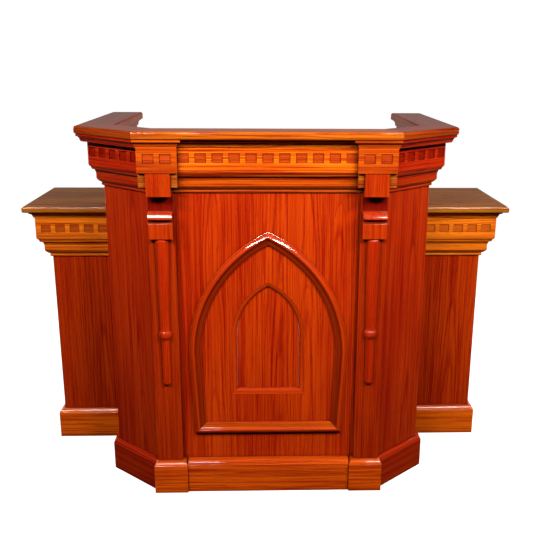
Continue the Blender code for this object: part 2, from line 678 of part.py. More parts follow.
# ---------------------------------------------------------------- the wings
def build_wing(side, word):
    """One box wing: top, cornice, panels and base, mitred at its outer front corner."""
    outer = (WING_HALF, WING_Y)
    runs = (("front", (BODY_HALF + GAP, WING_Y), outer, (0, MITRE_WING), 5),
            ("side", outer, (WING_HALF, BACK_Y), (MITRE_WING, 0), 7))
    wall = board_profile(-BOARD, 0.0, 0.0, WING_UNDER - GAP)
    squares = WING_UNDER - BED_HEIGHT - FRIEZE_HEIGHT + WING_SQUARE_FOOT
    for place, start, end, grow, count in runs:
        if side < 0:
            start, end, grow = mirrored(end), mirrored(start), grow[::-1]
        tail = "_" + place + "_" + word
        run("wing_panel" + tail, wall, start, end, grow, RED)
        run("wing_base" + tail, base_profile(), start, end, grow, ORANGE)
        cornice = run("wing_cornice" + tail, wing_cornice_profile(), start, end, grow, ORANGE)
        length = (Vector(end) - Vector(start)).length
        shift = length / 2 + FRIEZE_OUT - SQUARE_FIRST - (count - 1) / 2 * SQUARE_PITCH
        corner_last = grow[1] == MITRE_WING
        carve_squares(cornice, squares, row(count, shift if corner_last else -shift))
    round_up = 0.005
    rings = []
    for height, inset in ((WING_UNDER, round_up), (WING_UNDER + 0.0015, 0.0015),
                          (WING_UNDER + round_up, 0.0), (WING_TOP - round_up, 0.0),
                          (WING_TOP - 0.0015, 0.0015), (WING_TOP, round_up)):
        near, far = BODY_HALF + GAP, WING_HALF + WING_TOP_OUT - inset
        front = WING_Y - WING_TOP_OUT + inset
        plan = [(near, front), (far, front), (far, BACK_Y + RIM_BACK), (near, BACK_Y + RIM_BACK)]
        rings.append([(side * x, y, height) for x, y in plan])
    add_part("wing_top_" + word, loft_mesh("wing_top_" + word, rings), BROWN)


# ---------------------------------------------------------------- build
for leftover in list(bpy.data.objects):
    bpy.data.objects.remove(leftover)
PARTS = collection("winged_pulpit")
CUTTERS = collection("cutters")

front_board = build_panels()
build_lancet(front_board)
build_arch()
build_baseboards()
build_orders()
build_friezes()
build_rim()
build_shelf("bottom_shelf", BASE_HEIGHT, SHELF_BACK)
build_shelf("middle_shelf", SHELF_HEIGHT, SHELF_BACK)
build_desk()
for wing_side, wing_word in ((1, "right"), (-1, "left")):
    build_wing(wing_side, wing_word)
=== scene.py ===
"""Winged pulpit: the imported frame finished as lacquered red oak, in a plain pale studio.

Metres, +Z up, front towards -Y, in the frame of the CAD model. Boards and straight mouldings are
the CAD nodes with eased edges and their own grain. The arch, the half columns, the corbels, the
moulded edge of the pointed opening and the relief in the sunk squares are finer meshes made here.
"""
import math

import bmesh
import bpy
from mathutils import Matrix, Vector


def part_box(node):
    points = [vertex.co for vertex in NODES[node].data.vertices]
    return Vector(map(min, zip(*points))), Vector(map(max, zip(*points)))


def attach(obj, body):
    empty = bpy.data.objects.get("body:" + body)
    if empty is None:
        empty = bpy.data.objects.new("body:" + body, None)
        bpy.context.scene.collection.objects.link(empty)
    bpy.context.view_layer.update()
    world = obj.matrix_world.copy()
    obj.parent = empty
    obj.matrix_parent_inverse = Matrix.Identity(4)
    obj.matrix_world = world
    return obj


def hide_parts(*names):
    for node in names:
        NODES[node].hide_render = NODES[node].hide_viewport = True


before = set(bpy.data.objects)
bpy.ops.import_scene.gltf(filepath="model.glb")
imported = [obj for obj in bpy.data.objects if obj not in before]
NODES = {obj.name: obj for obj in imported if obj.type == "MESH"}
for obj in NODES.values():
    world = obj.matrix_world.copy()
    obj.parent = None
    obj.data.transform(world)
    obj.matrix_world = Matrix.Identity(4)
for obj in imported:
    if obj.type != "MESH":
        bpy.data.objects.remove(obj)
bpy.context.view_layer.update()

# ---------------------------------------------------------------- places, read from the frame
FRONT_LOW, FRONT_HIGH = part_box("front_panel")
SIDE_LOW, SIDE_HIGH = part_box("side_panel_right")
PANEL_Y = FRONT_LOW[1]
CORNER_X = FRONT_HIGH[0]
SIDE_X = SIDE_HIGH[0]
ANGLE_TURN = math.atan2(SIDE_LOW[1] - PANEL_Y, SIDE_X - CORNER_X)

# driving dimensions of the finer pieces, the same as the CAD's
GAP = 0.0003
TOUCH = 0.00003             # half the gap of a tight glued mitre
BOARD = 0.019
ARCH_BAND = 0.039
ARCH_SPRING = 0.495
ARCH_CENTRE = 0.190
ARCH_RADIUS = 0.4295
ARCH_FOOT = (0.2275, 0.226)
ARCH_MITRE = (0.70, 0.714)  # the way the cut at the foot faces, out and up
COLUMN_X = 0.331
CORBEL_FOOT = 0.8865
CAPITAL_X = 0.3315
CAPITAL_OUT = 0.061
FRIEZE_OUT = 0.042
BED_HEIGHT = 0.024
WING_FRIEZE_HEIGHT = 0.076
LANCET_HALF = 0.120
LANCET_FOOT = 0.346
LANCET_SPRING = 0.554
LANCET_CENTRE = 0.0786
SQUARE = (0.034, 0.029)
SQUARE_DEEP = 0.004
SQUARE_PITCH = 0.0508
SQUARE_FOOT = 0.029         # from a frieze's lower edge to its squares
WING_SQUARE_FOOT = 0.0225
SQUARE_END = 0.0365         # from a wing cornice's corner to its first square's middle

# nodes that a finer piece stands in for
REPLACED = ("arch_left", "arch_right", "arch_sill", "half_column_left", "half_column_right",
            "corbel_left", "corbel_right")

UP = Vector((0.0, 0.0, 1.0))
ALONG_X = Vector((1.0, 0.0, 0.0))
FRONTWARD = Vector((0.0, -1.0, 0.0))

# ---------------------------------------------------------------- stains: light and dark wood, linear, some of them darker copies painted as shade
STAINS = {
    "panel": ((0.355, 0.0290, 0.0006), (0.152, 0.0015, 0.0001)),
    "pilaster": ((0.265, 0.0190, 0.0005), (0.115, 0.0010, 0.0001)),
    "column": ((0.330, 0.0190, 0.0005), (0.140, 0.0010, 0.0001)),
    "corbel": ((0.310, 0.0240, 0.0005), (0.132, 0.0013, 0.0001)),
    # Painted shadow: a much darker copy of the corbel's stain, for the scotia under the corbel's head.
    "scotia": ((0.125, 0.0024, 0.0003), (0.055, 0.0007, 0.0001)),
    # Also painted shade: on trims this is darker than their front stains, for walls turned from the key
    # light.
    "angle": ((0.360, 0.0260, 0.0008), (0.160, 0.0014, 0.0002)),
    "rim_front": ((0.400, 0.0880, 0.0020), (0.130, 0.0060, 0.0003)),
    # Painted shade: a darker, redder copy of the front rim's stain, for rim boards turned from the key
    # light.
    "rim": ((0.260, 0.0360, 0.0012), (0.100, 0.0040, 0.0003)),
    "frieze": ((0.660, 0.1280, 0.0022), (0.200, 0.0080, 0.0003)),
    # Painted shade: a far darker copy of the frieze's stain, for friezes on the angled walls turned
    # from the key light.
    "angle_frieze": ((0.360, 0.0170, 0.0004), (0.135, 0.0010, 0.0001)),
    "fascia": ((0.385, 0.0540, 0.0014), (0.140, 0.0045, 0.0002)),
    "impost": ((0.320, 0.0850, 0.0060), (0.110, 0.0060, 0.0006)),
    "base": ((0.540, 0.0760, 0.0016), (0.180, 0.0054, 0.0003)),
    "sill": ((0.400, 0.0580, 0.0012), (0.150, 0.0045, 0.0002)),
    # Painted shade: a much darker copy of the panel's stain, for the shadowed hollow inside the arch's
    # ridge.
    "hollow": ((0.190, 0.0140, 0.0004), (0.070, 0.0010, 0.0001)),
    "wing_base": ((0.640, 0.1100, 0.0025), (0.210, 0.0077, 0.0003)),
    "wing_cornice": ((0.640, 0.1480, 0.0045), (0.215, 0.0105, 0.0006)),
    "wing_top": ((0.350, 0.1250, 0.0075), (0.100, 0.0080, 0.0008)),
    "square": ((0.360, 0.0400, 0.0015), (0.120, 0.0040, 0.0002)),
    # Painted shade: a darker copy of the squares' stain, for the rows on the angled and side walls.
    "angle_square": ((0.200, 0.0070, 0.0004), (0.080, 0.0008, 0.0001)),
    "wing_square": ((0.440, 0.0780, 0.0040), (0.160, 0.0100, 0.0006)),
    "inner": ((0.360, 0.1150, 0.0320), (0.115, 0.0190, 0.0050)),
}
PORE = (0.025, 0.0020, 0.0003)

# how the oak grew
RING = 0.0042               # one year's growth
HEART = (0.09, -0.06)       # the tree's heart from a board's middle, across it and out of its face
TAPER = 0.010               # how fast the rings draw in along the board


# ---------------------------------------------------------------- node helpers
def feed(tree, socket, value):
    """Link another node's output to a socket, or set the socket's own value."""
    if isinstance(value, bpy.types.NodeSocket):
        tree.links.new(value, socket)
    elif isinstance(value, (tuple, list)) and len(value) == 3 and socket.type == "RGBA":
        socket.default_value = (*value, 1.0)
    else:
        socket.default_value = value


def math_node(tree, operation, *values):
    node = tree.nodes.new("ShaderNodeMath")
    node.operation = operation
    for socket, value in zip(node.inputs, values):
        feed(tree, socket, value)
    return node.outputs[0]


def span(tree, value, low, high, to_low=0.0, to_high=1.0):
    """Map a value's range onto another, clamped and smoothed."""
    node = tree.nodes.new("ShaderNodeMapRange")
    node.interpolation_type = "SMOOTHSTEP"
    for name, given in zip(("Value", "From Min", "From Max", "To Min", "To Max"),
                           (value, low, high, to_low, to_high)):
        feed(tree, node.inputs[name], given)
    return node.outputs["Result"]


def noise(tree, vector, scale, detail, roughness):
    """Noise with its own cells per metre along the grain, across it and through the board."""
    cells = tree.nodes.new("ShaderNodeMapping")
    feed(tree, cells.inputs["Vector"], vector)
    cells.inputs["Scale"].default_value = scale
    node = tree.nodes.new("ShaderNodeTexNoise")
    feed(tree, node.inputs["Vector"], cells.outputs[0])
    node.inputs["Scale"].default_value = 1.0
    node.inputs["Detail"].default_value = detail
    node.inputs["Roughness"].default_value = roughness
    return node.outputs["Fac"]


def luck(tree, number):
    """A steady random value from 0 to 1 for each whole number."""
    node = tree.nodes.new("ShaderNodeTexWhiteNoise")
    node.noise_dimensions = "1D"
    feed(tree, node.inputs["W"], number)
    return node.outputs["Value"]


def blend(tree, factor, first, second, mode="MIX"):
    node = tree.nodes.new("ShaderNodeMix")
    node.data_type = "RGBA"
    node.blend_type = mode
    feed(tree, node.inputs[0], factor)
    feed(tree, node.inputs[6], first)
    feed(tree, node.inputs[7], second)
    return node.outputs[2]


def grey(tree, value):
    node = tree.nodes.new("ShaderNodeCombineColor")
    for socket in node.inputs:
        feed(tree, socket, value)
    return node.outputs[0]


# ---------------------------------------------------------------- the oak
def board_space(tree, lie, seed):
    """Coordinates along the grain, across it and out of the board's face, from its middle.

    `lie` is the way the grain runs, the way the board faces and its middle. Without it the grain
    follows the mesh's own unwrapped length.
    """
    place = tree.nodes.new("ShaderNodeTexCoord")
    board = tree.nodes.new("ShaderNodeMapping")
    board.inputs["Location"].default_value = (seed * 3.7, 0.0, 0.0)
    if lie is None:
        feed(tree, board.inputs["Vector"], place.outputs["UV"])
        return board.outputs[0]
    grain, normal, centre = lie
    grain = grain.normalized()
    normal = (normal - grain * normal.dot(grain)).normalized()
    turn = Matrix((grain, normal.cross(grain), normal))
    feed(tree, board.inputs["Vector"], place.outputs["Object"])
    board.inputs["Rotation"].default_value = turn.to_euler()
    board.inputs["Location"].default_value -= turn @ Vector(centre)
    return board.outputs[0]


def split_staves(tree, along, across, stave):
    """Cut the board into glued staves, each from its own tree; returns places and a tone."""
    number = math_node(tree, "FLOOR", math_node(tree, "DIVIDE", across, stave))
    tone = luck(tree, number)
    inside = math_node(tree, "SUBTRACT", across, math_node(tree, "MULTIPLY", number, stave))
    shift = math_node(tree, "MULTIPLY_ADD", tone, 0.20, -0.10)
    along = math_node(tree, "MULTIPLY_ADD", tone, 7.0, along)
    return along, math_node(tree, "ADD", inside, shift), tone


def growth_rings(tree, vector, stave):
    """Distance from the tree's heart, cut into rings; returns the early-wood mask and a tone."""
    split = tree.nodes.new("ShaderNodeSeparateXYZ")
    feed(tree, split.inputs[0], vector)
    along, across, deep = split.outputs
    if stave:
        along, across, tone = split_staves(tree, along, across, stave)
    else:
        across = math_node(tree, "SUBTRACT", across, HEART[0])
        tone = None
    deep = math_node(tree, "SUBTRACT", deep, HEART[1])
    square = math_node(tree, "MULTIPLY", across, across)
    radius = math_node(tree, "SQRT", math_node(tree, "MULTIPLY_ADD", deep, deep, square))
    radius = math_node(tree, "MULTIPLY_ADD", along, TAPER, radius)
    wander = noise(tree, vector, (1.6, 7.0, 7.0), 2.0, 0.5)
    radius = math_node(tree, "MULTIPLY_ADD", wander, 0.018, radius)
    ripple = noise(tree, vector, (9.0, 40.0, 40.0), 1.0, 0.5)
    radius = math_node(tree, "MULTIPLY_ADD", ripple, 0.0016, radius)
    count = math_node(tree, "DIVIDE", radius, RING)
    phase = math_node(tree, "FRACT", count)
    rising = span(tree, phase, 0.86, 1.0)
    falling = span(tree, phase, 0.05, 0.52, 1.0, 0.0)
    early = math_node(tree, "MAXIMUM", rising, falling)
    strength = luck(tree, math_node(tree, "FLOOR", count))
    weight = math_node(tree, "MULTIPLY_ADD", strength, 0.65, 0.35)
    return math_node(tree, "MULTIPLY", early, weight), tone


def darkness(tree, vector, early, fibre, tone, contrast):
    """How far the wood leans to its dark stain, from 0 to 1."""
    streak = noise(tree, vector, (1.6, 110.0, 110.0), 4.0, 0.62)
    line = noise(tree, vector, (4.5, 260.0, 260.0), 2.0, 0.55)
    cloud = noise(tree, vector, (1.5, 5.0, 5.0), 2.0, 0.5)
    dim = math_node(tree, "MULTIPLY", early, 0.36 * contrast)
    dim = math_node(tree, "MULTIPLY_ADD", span(tree, streak, 0.36, 0.66), 0.36 * contrast, dim)
    dim = math_node(tree, "MULTIPLY_ADD", span(tree, line, 0.48, 0.70), 0.32 * contrast, dim)
    dim = math_node(tree, "MULTIPLY_ADD", fibre, 0.24, dim)
    dim = math_node(tree, "MULTIPLY_ADD", span(tree, cloud, 0.35, 0.65), 0.22, dim)
    dim = math_node(tree, "SUBTRACT", dim, 0.26 + 0.10 * (contrast - 1))
    if tone is not None:
        dim = math_node(tree, "MULTIPLY_ADD", tone, 0.16, dim)
    return math_node(tree, "MINIMUM", math_node(tree, "MAXIMUM", dim, 0.0), 1.0)


def stain_and_crevice_shade(tree, dim, pores, light, dark):
    """The stain from light to dark through a deep middle, with dark pores and painted shade in the
    crevices.
    """
    middle = tuple(math.sqrt(high * low) for high, low in zip(light, dark))
    colour = blend(tree, dim, blend(tree, dim, light, middle), blend(tree, dim, middle, dark))
    colour = blend(tree, math_node(tree, "MULTIPLY", pores, 0.66), colour, PORE)
    # Painted shade: ambient occlusion darkens the colour in crevices, corners and between parts, where
    # shade falls.
    shade = tree.nodes.new("ShaderNodeAmbientOcclusion")
    shade.samples = 6
    shade.inputs["Distance"].default_value = 0.026
    painted_crevice_shade = span(tree, shade.outputs["AO"], 0.15, 0.90, 0.25, 1.0)
    return blend(tree, 1.0, colour, grey(tree, painted_crevice_shade), "MULTIPLY")


def relief(tree, early, pores, fibre):
    """The grain's own slight roughness, as a bump of the surface."""
    height = math_node(tree, "MULTIPLY", early, -0.35)
    height = math_node(tree, "MULTIPLY_ADD", pores, -0.8, height)
    height = math_node(tree, "MULTIPLY_ADD", fibre, 0.25, height)
    bump = tree.nodes.new("ShaderNodeBump")
    bump.inputs["Strength"].default_value = 0.55
    bump.inputs["Distance"].default_value = 0.0003
    feed(tree, bump.inputs["Height"], height)
    return bump.outputs[0]


def oak(name, lie, stain, seed, stave=0.0, contrast=1.0, coat=0.8):
    """Lacquered oak in one of the stains; `lie` is how the grain lies in the board."""
    material = bpy.data.materials.new(name)
    material.use_nodes = True
    tree = material.node_tree
    shader = tree.nodes["Principled BSDF"]
    vector = board_space(tree, lie, seed)

    early, tone = growth_rings(tree, vector, stave)
    fibre = noise(tree, vector, (6.0, 520.0, 520.0), 2.0, 0.6)
    pores = span(tree, noise(tree, vector, (38.0, 1000.0, 1000.0), 1.0, 0.4), 0.53, 0.68)
    in_early = math_node(tree, "MULTIPLY_ADD", early, 0.8, 0.2)
    pores = math_node(tree, "MULTIPLY", pores, in_early)

    dim = darkness(tree, vector, early, fibre, tone, contrast)
    feed(tree, shader.inputs["Base Color"], stain_and_crevice_shade(tree, dim, pores, *STAINS[stain]))
    smear = noise(tree, vector, (3.0, 14.0, 14.0), 3.0, 0.6)
    rough = math_node(tree, "MULTIPLY_ADD", smear, 0.16, 0.34)
    feed(tree, shader.inputs["Roughness"], math_node(tree, "MULTIPLY_ADD", pores, 0.25, rough))
    feed(tree, shader.inputs["Normal"], relief(tree, early, pores, fibre))
    shader.inputs["Specular IOR Level"].default_value = 0.03
    shader.inputs["Coat Weight"].default_value = coat
    shader.inputs["Coat Roughness"].default_value = 0.055
    shader.inputs["Coat IOR"].default_value = 1.5
    return material


# ---------------------------------------------------------------- dressing the CAD nodes
def middle_of(name):
    low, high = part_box(name)
    return (Vector(low) + Vector(high)) / 2


def sided(name):
    return -1.0 if name.endswith("_left") else 1.0


def facing(name):
    """The outward direction of the wall that a board stands on."""
    side = sided(name)
    if name.startswith("wing_") and "_side_" in name:
        return Vector((side, 0.0, 0.0))
    if "_angle" in name or name.startswith("angle_"):
        return Vector((side * math.sin(ANGLE_TURN), -math.cos(ANGLE_TURN), 0.0))
    if name.startswith(("side_panel", "rim_arm")) or "_side" in name:
        return Vector((side, 0.0, 0.0))
    return FRONTWARD


def add_bevel(piece, width, angle, segments):
    bevel = piece.modifiers.new("eased", "BEVEL")
    bevel.width = width
    bevel.segments = segments
    bevel.limit_method = "ANGLE"
    bevel.angle_limit = math.radians(angle)
    even = piece.modifiers.new("even", "WEIGHTED_NORMAL")
    even.weight = 100
    even.keep_sharp = True


def ease_edges(piece, width):
    """Weld the board's shell, round its edges and shade it smooth between them."""
    weld = piece.modifiers.new("weld", "WELD")
    weld.merge_threshold = 0.00005
    flat = piece.modifiers.new("flat", "DECIMATE")
    flat.decimate_type = "DISSOLVE"
    flat.angle_limit = math.radians(0.5)
    add_bevel(piece, width, 28.0, 2)
    for polygon in piece.data.polygons:
        polygon.use_smooth = True


def wood_of(name):
    """How a node is made: grain, the way its broad face looks, stain, eased edge and settings."""
    wall = facing(name)
    level = UP.cross(wall)
    if name.startswith(("middle_shelf", "bottom_shelf", "reading_desk", "book_stop")):
        return ALONG_X, UP, "inner", 0.0006, {"stave": 0.11, "coat": 0.04}
    if name.startswith("wing_top"):
        return ALONG_X, UP, "wing_top", 0.0010, {"stave": 0.12}
    if name.startswith("rim_front"):
        return level, UP, "rim_front", 0.0010, {"contrast": 1.4}
    # Rim boards other than the front take the darker rim stain, painted shade.
    if name.startswith("rim_"):
        return level, UP, "rim", 0.0010, {"contrast": 1.2}
    if name.startswith(("angle_panel", "side_panel")):
        return UP, wall, "angle", 0.0008, {"stave": 0.105, "contrast": 1.1}
    if "panel" in name:
        return UP, wall, "panel", 0.0008, {"stave": 0.105, "contrast": 1.1}
    if name.startswith("pilaster"):
        return UP, wall, "pilaster", 0.0010, {"contrast": 1.1}
    # Friezes on the angled walls take the darker stain painted as shade.
    if name.startswith("frieze_angle"):
        return level, wall, "angle_frieze", 0.0006, {"contrast": 1.5}
    # Trims on the angled and side walls take the angle stain, darker than their front stains: painted
    # shade.
    if name.startswith(("frieze_side", "architrave_angle", "architrave_side", "baseboard_angle",
                        "baseboard_side")):
        return level, wall, "angle", 0.0006, {"contrast": 1.2}
    if name.startswith("wing_cornice"):
        return level, wall, "wing_cornice", 0.0006, {"contrast": 1.3}
    if name.startswith(("architrave", "capital")):
        return level, wall, "fascia", 0.0006, {"contrast": 1.3}
    if name.startswith("impost"):
        return level, wall, "impost", 0.0006, {"contrast": 1.3}
    if name.startswith("wing_base"):
        return level, wall, "wing_base", 0.0006, {"contrast": 1.4}
    if name.startswith(("baseboard", "plinth")):
        return level, wall, "base", 0.0006, {"contrast": 1.4}
    return level, wall, "frieze", 0.0006, {"contrast": 1.6}


def dress_body():
    for seed, name in enumerate(sorted(NODES)):
        if name in REPLACED:
            continue
        grain, normal, stain, width, settings = wood_of(name)
        piece = NODES[name]
        piece.data.materials.clear()
        lie = (grain, normal, middle_of(name))
        piece.data.materials.append(oak("oak_" + name, lie, stain, seed, **settings))
        ease_edges(piece, width)


# ---------------------------------------------------------------- finer pieces
def new_piece(name, bm, replaced=()):
    """A new piece that rides with the body, in the frame's own coordinates."""
    mesh = bpy.data.meshes.new(name)
    bm.to_mesh(mesh)
    bm.free()
    piece = bpy.data.objects.new(name, mesh)
    bpy.context.scene.collection.objects.link(piece)
    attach(piece, "root")
    if replaced:
        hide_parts(*replaced)
    return piece


def finer(name, bm, replaced=(), sharp=40.0):
    """A new piece with smooth shading, except across edges sharper than `sharp` degrees."""
    bmesh.ops.recalc_face_normals(bm, faces=bm.faces)
    piece = new_piece(name, bm, replaced)
    for polygon in piece.data.polygons:
        polygon.use_smooth = True
    piece.data.set_sharp_from_angle(angle=math.radians(sharp))
    return piece


def finish_with(piece, stain, seed, lie=None, **settings):
    """Give the piece one more material; faces name theirs by the order they were given in."""
    piece.data.materials.append(oak("oak_" + piece.name, lie, stain, seed, **settings))


def smooth_path(points, steps):
    """A rounder line through (a, b) points: Catmull-Rom, which passes through every one."""
    points = [Vector(point) for point in points]
    ends = [points[0] * 2 - points[1]] + points + [points[-1] * 2 - points[-2]]
    line = []
    for before, start, end, after in zip(ends, ends[1:], ends[2:], ends[3:]):
        for step in range(steps):
            t = step / steps
            line.append(0.5 * (2 * start + (end - before) * t
                               + (2 * before - 5 * start + 4 * end - after) * t ** 2
                               + (3 * start - before - 3 * end + after) * t ** 3))
    return line + [points[-1]]


def skin(bm, rings, close_ends=True, second=()):
    """Closed rings of points joined into a skin; UV runs along the rings, then round them.

    The strips listed in `second` take the piece's second material.
    """
    loops = [[bm.verts.new(point) for point in ring] for ring in rings]
    layer = bm.loops.layers.uv.verify()
    along = 0.0
    for lower, upper in zip(loops, loops[1:]):
        stride = sum((b.co - a.co).length for a, b in zip(lower, upper)) / len(lower)
        around = 0.0
        for index in range(len(lower)):
            follow = (index + 1) % len(lower)
            width = (lower[follow].co - lower[index].co).length
            face = bm.faces.new((lower[index], lower[follow], upper[follow], upper[index]))
            corners = ((along, around), (along, around + width),
                       (along + stride, around + width), (along + stride, around))
            for loop, corner in zip(face.loops, corners):
                loop[layer].uv = corner
            face.material_index = 1 if index in second else 0
            around += width
        along += stride
    if close_ends:
        bm.faces.new(loops[0])
        bm.faces.new(loops[-1])


def saw(bm, point, normal):
    """Cut off everything on the side the normal points to, and close the cut."""
    geometry = bm.verts[:] + bm.edges[:] + bm.faces[:]
    bmesh.ops.bisect_plane(bm, geom=geometry, dist=0.000001, plane_co=point, plane_no=normal,
                           clear_outer=True)
    rim = [edge for edge in bm.edges if edge.is_boundary]
    bmesh.ops.edgeloop_fill(bm, edges=rim)


def arch_section():
    """The arch moulding: outer quirk, round ridge, and the hollow down to its inner edge.

    Returns its points and the numbers of those that lie in the hollow.
    """
    half = ARCH_BAND / 2
    quirk = [Vector((half, GAP)), Vector((half, 0.0050)), Vector((half - 0.0018, 0.0061)),
             Vector((half - 0.0036, 0.0060))]
    ridge = [(half - 0.0040, 0.0085), (half - 0.0046, 0.0120), (half - 0.0064, 0.0147),
             (half - 0.0084, 0.0162), (half - 0.0106, 0.0176), (half - 0.0130, 0.0188),
             (half - 0.0158, 0.0184)]
    hollow = [(half - 0.0178, 0.0168), (half - 0.0199, 0.0128), (half - 0.0237, 0.0098),
              (half - 0.0290, 0.0082), (half - 0.0335, 0.0076)]
    edge = [Vector((-half + 0.0030, 0.0062)), Vector((-half + 0.0008, 0.0056)),
            Vector((-half, 0.0046)), Vector((-half, GAP))]
    ridge = smooth_path(ridge, 4)
    hollow = smooth_path(hollow, 3)
    start = len(quirk) + len(ridge)
    return quirk + ridge + hollow + edge, range(start, start + len(hollow) + 1)


def arch_stations(side):
    """Middle of the band and the way across it, from below the foot to past the apex."""
    spring = (ARCH_RADIUS - ARCH_CENTRE, ARCH_SPRING)
    leg = Vector((spring[0] - ARCH_FOOT[0], spring[1] - ARCH_FOOT[1])).normalized()
    rise = spring[1] - ARCH_FOOT[1]
    leg_steps, below_foot = 8, 0.12
    stations = []
    for step in range(leg_steps + 1):
        part = -below_foot + (1 + below_foot) * step / leg_steps
        middle = (ARCH_FOOT[0] + (spring[0] - ARCH_FOOT[0]) * part, ARCH_FOOT[1] + rise * part)
        stations.append((middle, (leg.y, -leg.x) if step < leg_steps else (1.0, 0.0)))
    apex_turn, apex_steps = math.acos(ARCH_CENTRE / ARCH_RADIUS), 42
    for step in range(1, apex_steps + 2):
        turn = apex_turn * step / apex_steps
        across = (math.cos(turn), math.sin(turn))
        stations.append(((ARCH_RADIUS * across[0] - ARCH_CENTRE,
                          ARCH_SPRING + ARCH_RADIUS * across[1]), across))
    return [((side * x, up), (side * nx, nz)) for (x, up), (nx, nz) in stations]


def build_arch_piece(name, stations, planes, seed, hollow_stain):
    """One length of the arch, swept along its stations and sawn at the given planes."""
    bm = bmesh.new()
    section, hollow = arch_section()
    skin(bm, [[(x + nx * point.x, PANEL_Y - point.y, up + nz * point.x) for point in section]
              for (x, up), (nx, nz) in stations], second=hollow)
    for point, normal in planes:
        saw(bm, point, normal)
    piece = finer(name + "_fine", bm, (name,))
    finish_with(piece, "panel", seed, contrast=0.9)
    # The hollow's strips take the second stain; on the arch's legs that is the dark hollow stain,
    # painted shade in the cove.
    finish_with(piece, hollow_stain, seed, contrast=0.9)


def build_arch():
    foot_x, foot_z = ARCH_FOOT
    out, up = ARCH_MITRE
    for side, word in ((1, "right"), (-1, "left")):
        apex = ((side * TOUCH, 0.0, 0.0), (-side, 0.0, 0.0))
        mitre = ((side * foot_x, 0.0, foot_z + TOUCH), (-side * out, 0.0, -up))
        # the legs' hollows get the dark stain that paints shade in the cove
        build_arch_piece("arch_" + word, arch_stations(side), (apex, mitre), 81 + side, "hollow")
    beyond = foot_x + 0.03
    steps = 12
    sill = [((-beyond + beyond * 2 * step / steps, foot_z), (0.0, -1.0)) for step in range(steps + 1)]
    mitres = [((side * foot_x, 0.0, foot_z - TOUCH), (side * out, 0.0, up)) for side in (1, -1)]
    build_arch_piece("arch_sill", sill, mitres, 84, "sill")


def column_profile():
    """Half column as (radius, height) from top to foot: neck, shaft, ring and thin shaft."""
    shaft = [(0.0224, 0.8790), (0.0222, 0.8500), (0.0211, 0.7700), (0.0197, 0.6900),
             (0.0184, 0.6350), (0.0174, 0.5950)]
    turns = [math.pi * step / 14 for step in range(15)]
    ring = [(0.0178 + 0.0044 * math.sin(turn), 0.5685 + 0.0118 * math.cos(turn)) for turn in turns]
    thin = [(0.0172, 0.5555), (0.0172, 0.5540), (0.0160, 0.5520), (0.0150, 0.5490), (0.0146, 0.5440),
            (0.0145, 0.5200), (0.0145, 0.4600), (0.0145, 0.4030), (0.0141, 0.3990), (0.0130, 0.3958),
            (0.0106, 0.3939), (0.0070, 0.3930), (0.0010, 0.3926)]
    neck = [(0.0188, CORBEL_FOOT - GAP), (0.0190, 0.8838), (0.0198, 0.8830), (0.0214, 0.8818),
            (0.0222, 0.8802)]
    shaft = [tuple(point) for point in smooth_path(shaft, 4)]
    return neck + shaft + [(0.0172, 0.5830), (0.0178, 0.5812)] + ring + thin


def build_columns():
    back = PANEL_Y - BOARD - GAP
    turns = [math.pi * step / 24 for step in range(25)]
    for side, word in ((1, "right"), (-1, "left")):
        rings = [[(side * COLUMN_X + radius * math.cos(turn), back - radius * math.sin(turn), height)
                  for turn in turns] for radius, height in column_profile()]
        bm = bmesh.new()
        skin(bm, rings)
        name = "half_column_" + word
        piece = finer(name + "_turned", bm, (name,))
        finish_with(piece, "column", 91 + side)


def quarter(start, end, steps):
    """A hollow quarter between two (out, up) points, which leaves the first one level."""
    line = []
    for step in range(steps + 1):
        turn = math.pi / 2 * step / steps
        out = start[0] + (end[0] - start[0]) * math.sin(turn)
        up = start[1] + (end[1] - start[1]) * (1 - math.cos(turn))
        line.append((out, up))
    return line


def corbel_outline(low, high, front):
    """Side view of a corbel as (out, up): head, scotia, nosing, neck and lower block.

    Returns its points and the numbers of those that lie in the scotia.
    """
    back, tongue, notch = BOARD + GAP, 0.0083, 0.0363
    tongue_foot, notch_foot, head_foot = 1.026, 1.0495, 1.022
    chamfer = 0.0006
    head = [(back, low), (back, tongue_foot), (tongue, tongue_foot), (tongue, notch_foot),
            (notch, notch_foot), (notch, high), (front, high), (front, head_foot + chamfer),
            (front - chamfer, head_foot)]
    scotia = [(0.0245, head_foot), (0.0236, 1.0060), (0.0234, 0.9900), (0.0238, 0.9780),
              (0.0250, 0.9716)]
    nosing = [(0.0262, 0.9710), (0.0345, 0.9700), (0.0410, 0.9672), (0.0436, 0.9638),
              (0.0453, 0.9604), (0.0469, 0.9570), (0.0484, 0.9528), (0.0482, 0.9500),
              (0.0452, 0.9486), (0.0405, 0.9485)]
    scotia = [tuple(point) for point in smooth_path(scotia, 4)]
    nosing = [tuple(point) for point in smooth_path(nosing, 4)]
    neck = quarter((0.0403, 0.9483), (0.0345, 0.9370), 9)
    block = [(0.0345, 0.9352), (0.0396, 0.9350), (0.0398, 0.9348), (0.0410, 0.9326), (0.0410, low)]
    start = len(head)
    return head + scotia + nosing + neck + block, range(start, start + len(scotia) - 1)


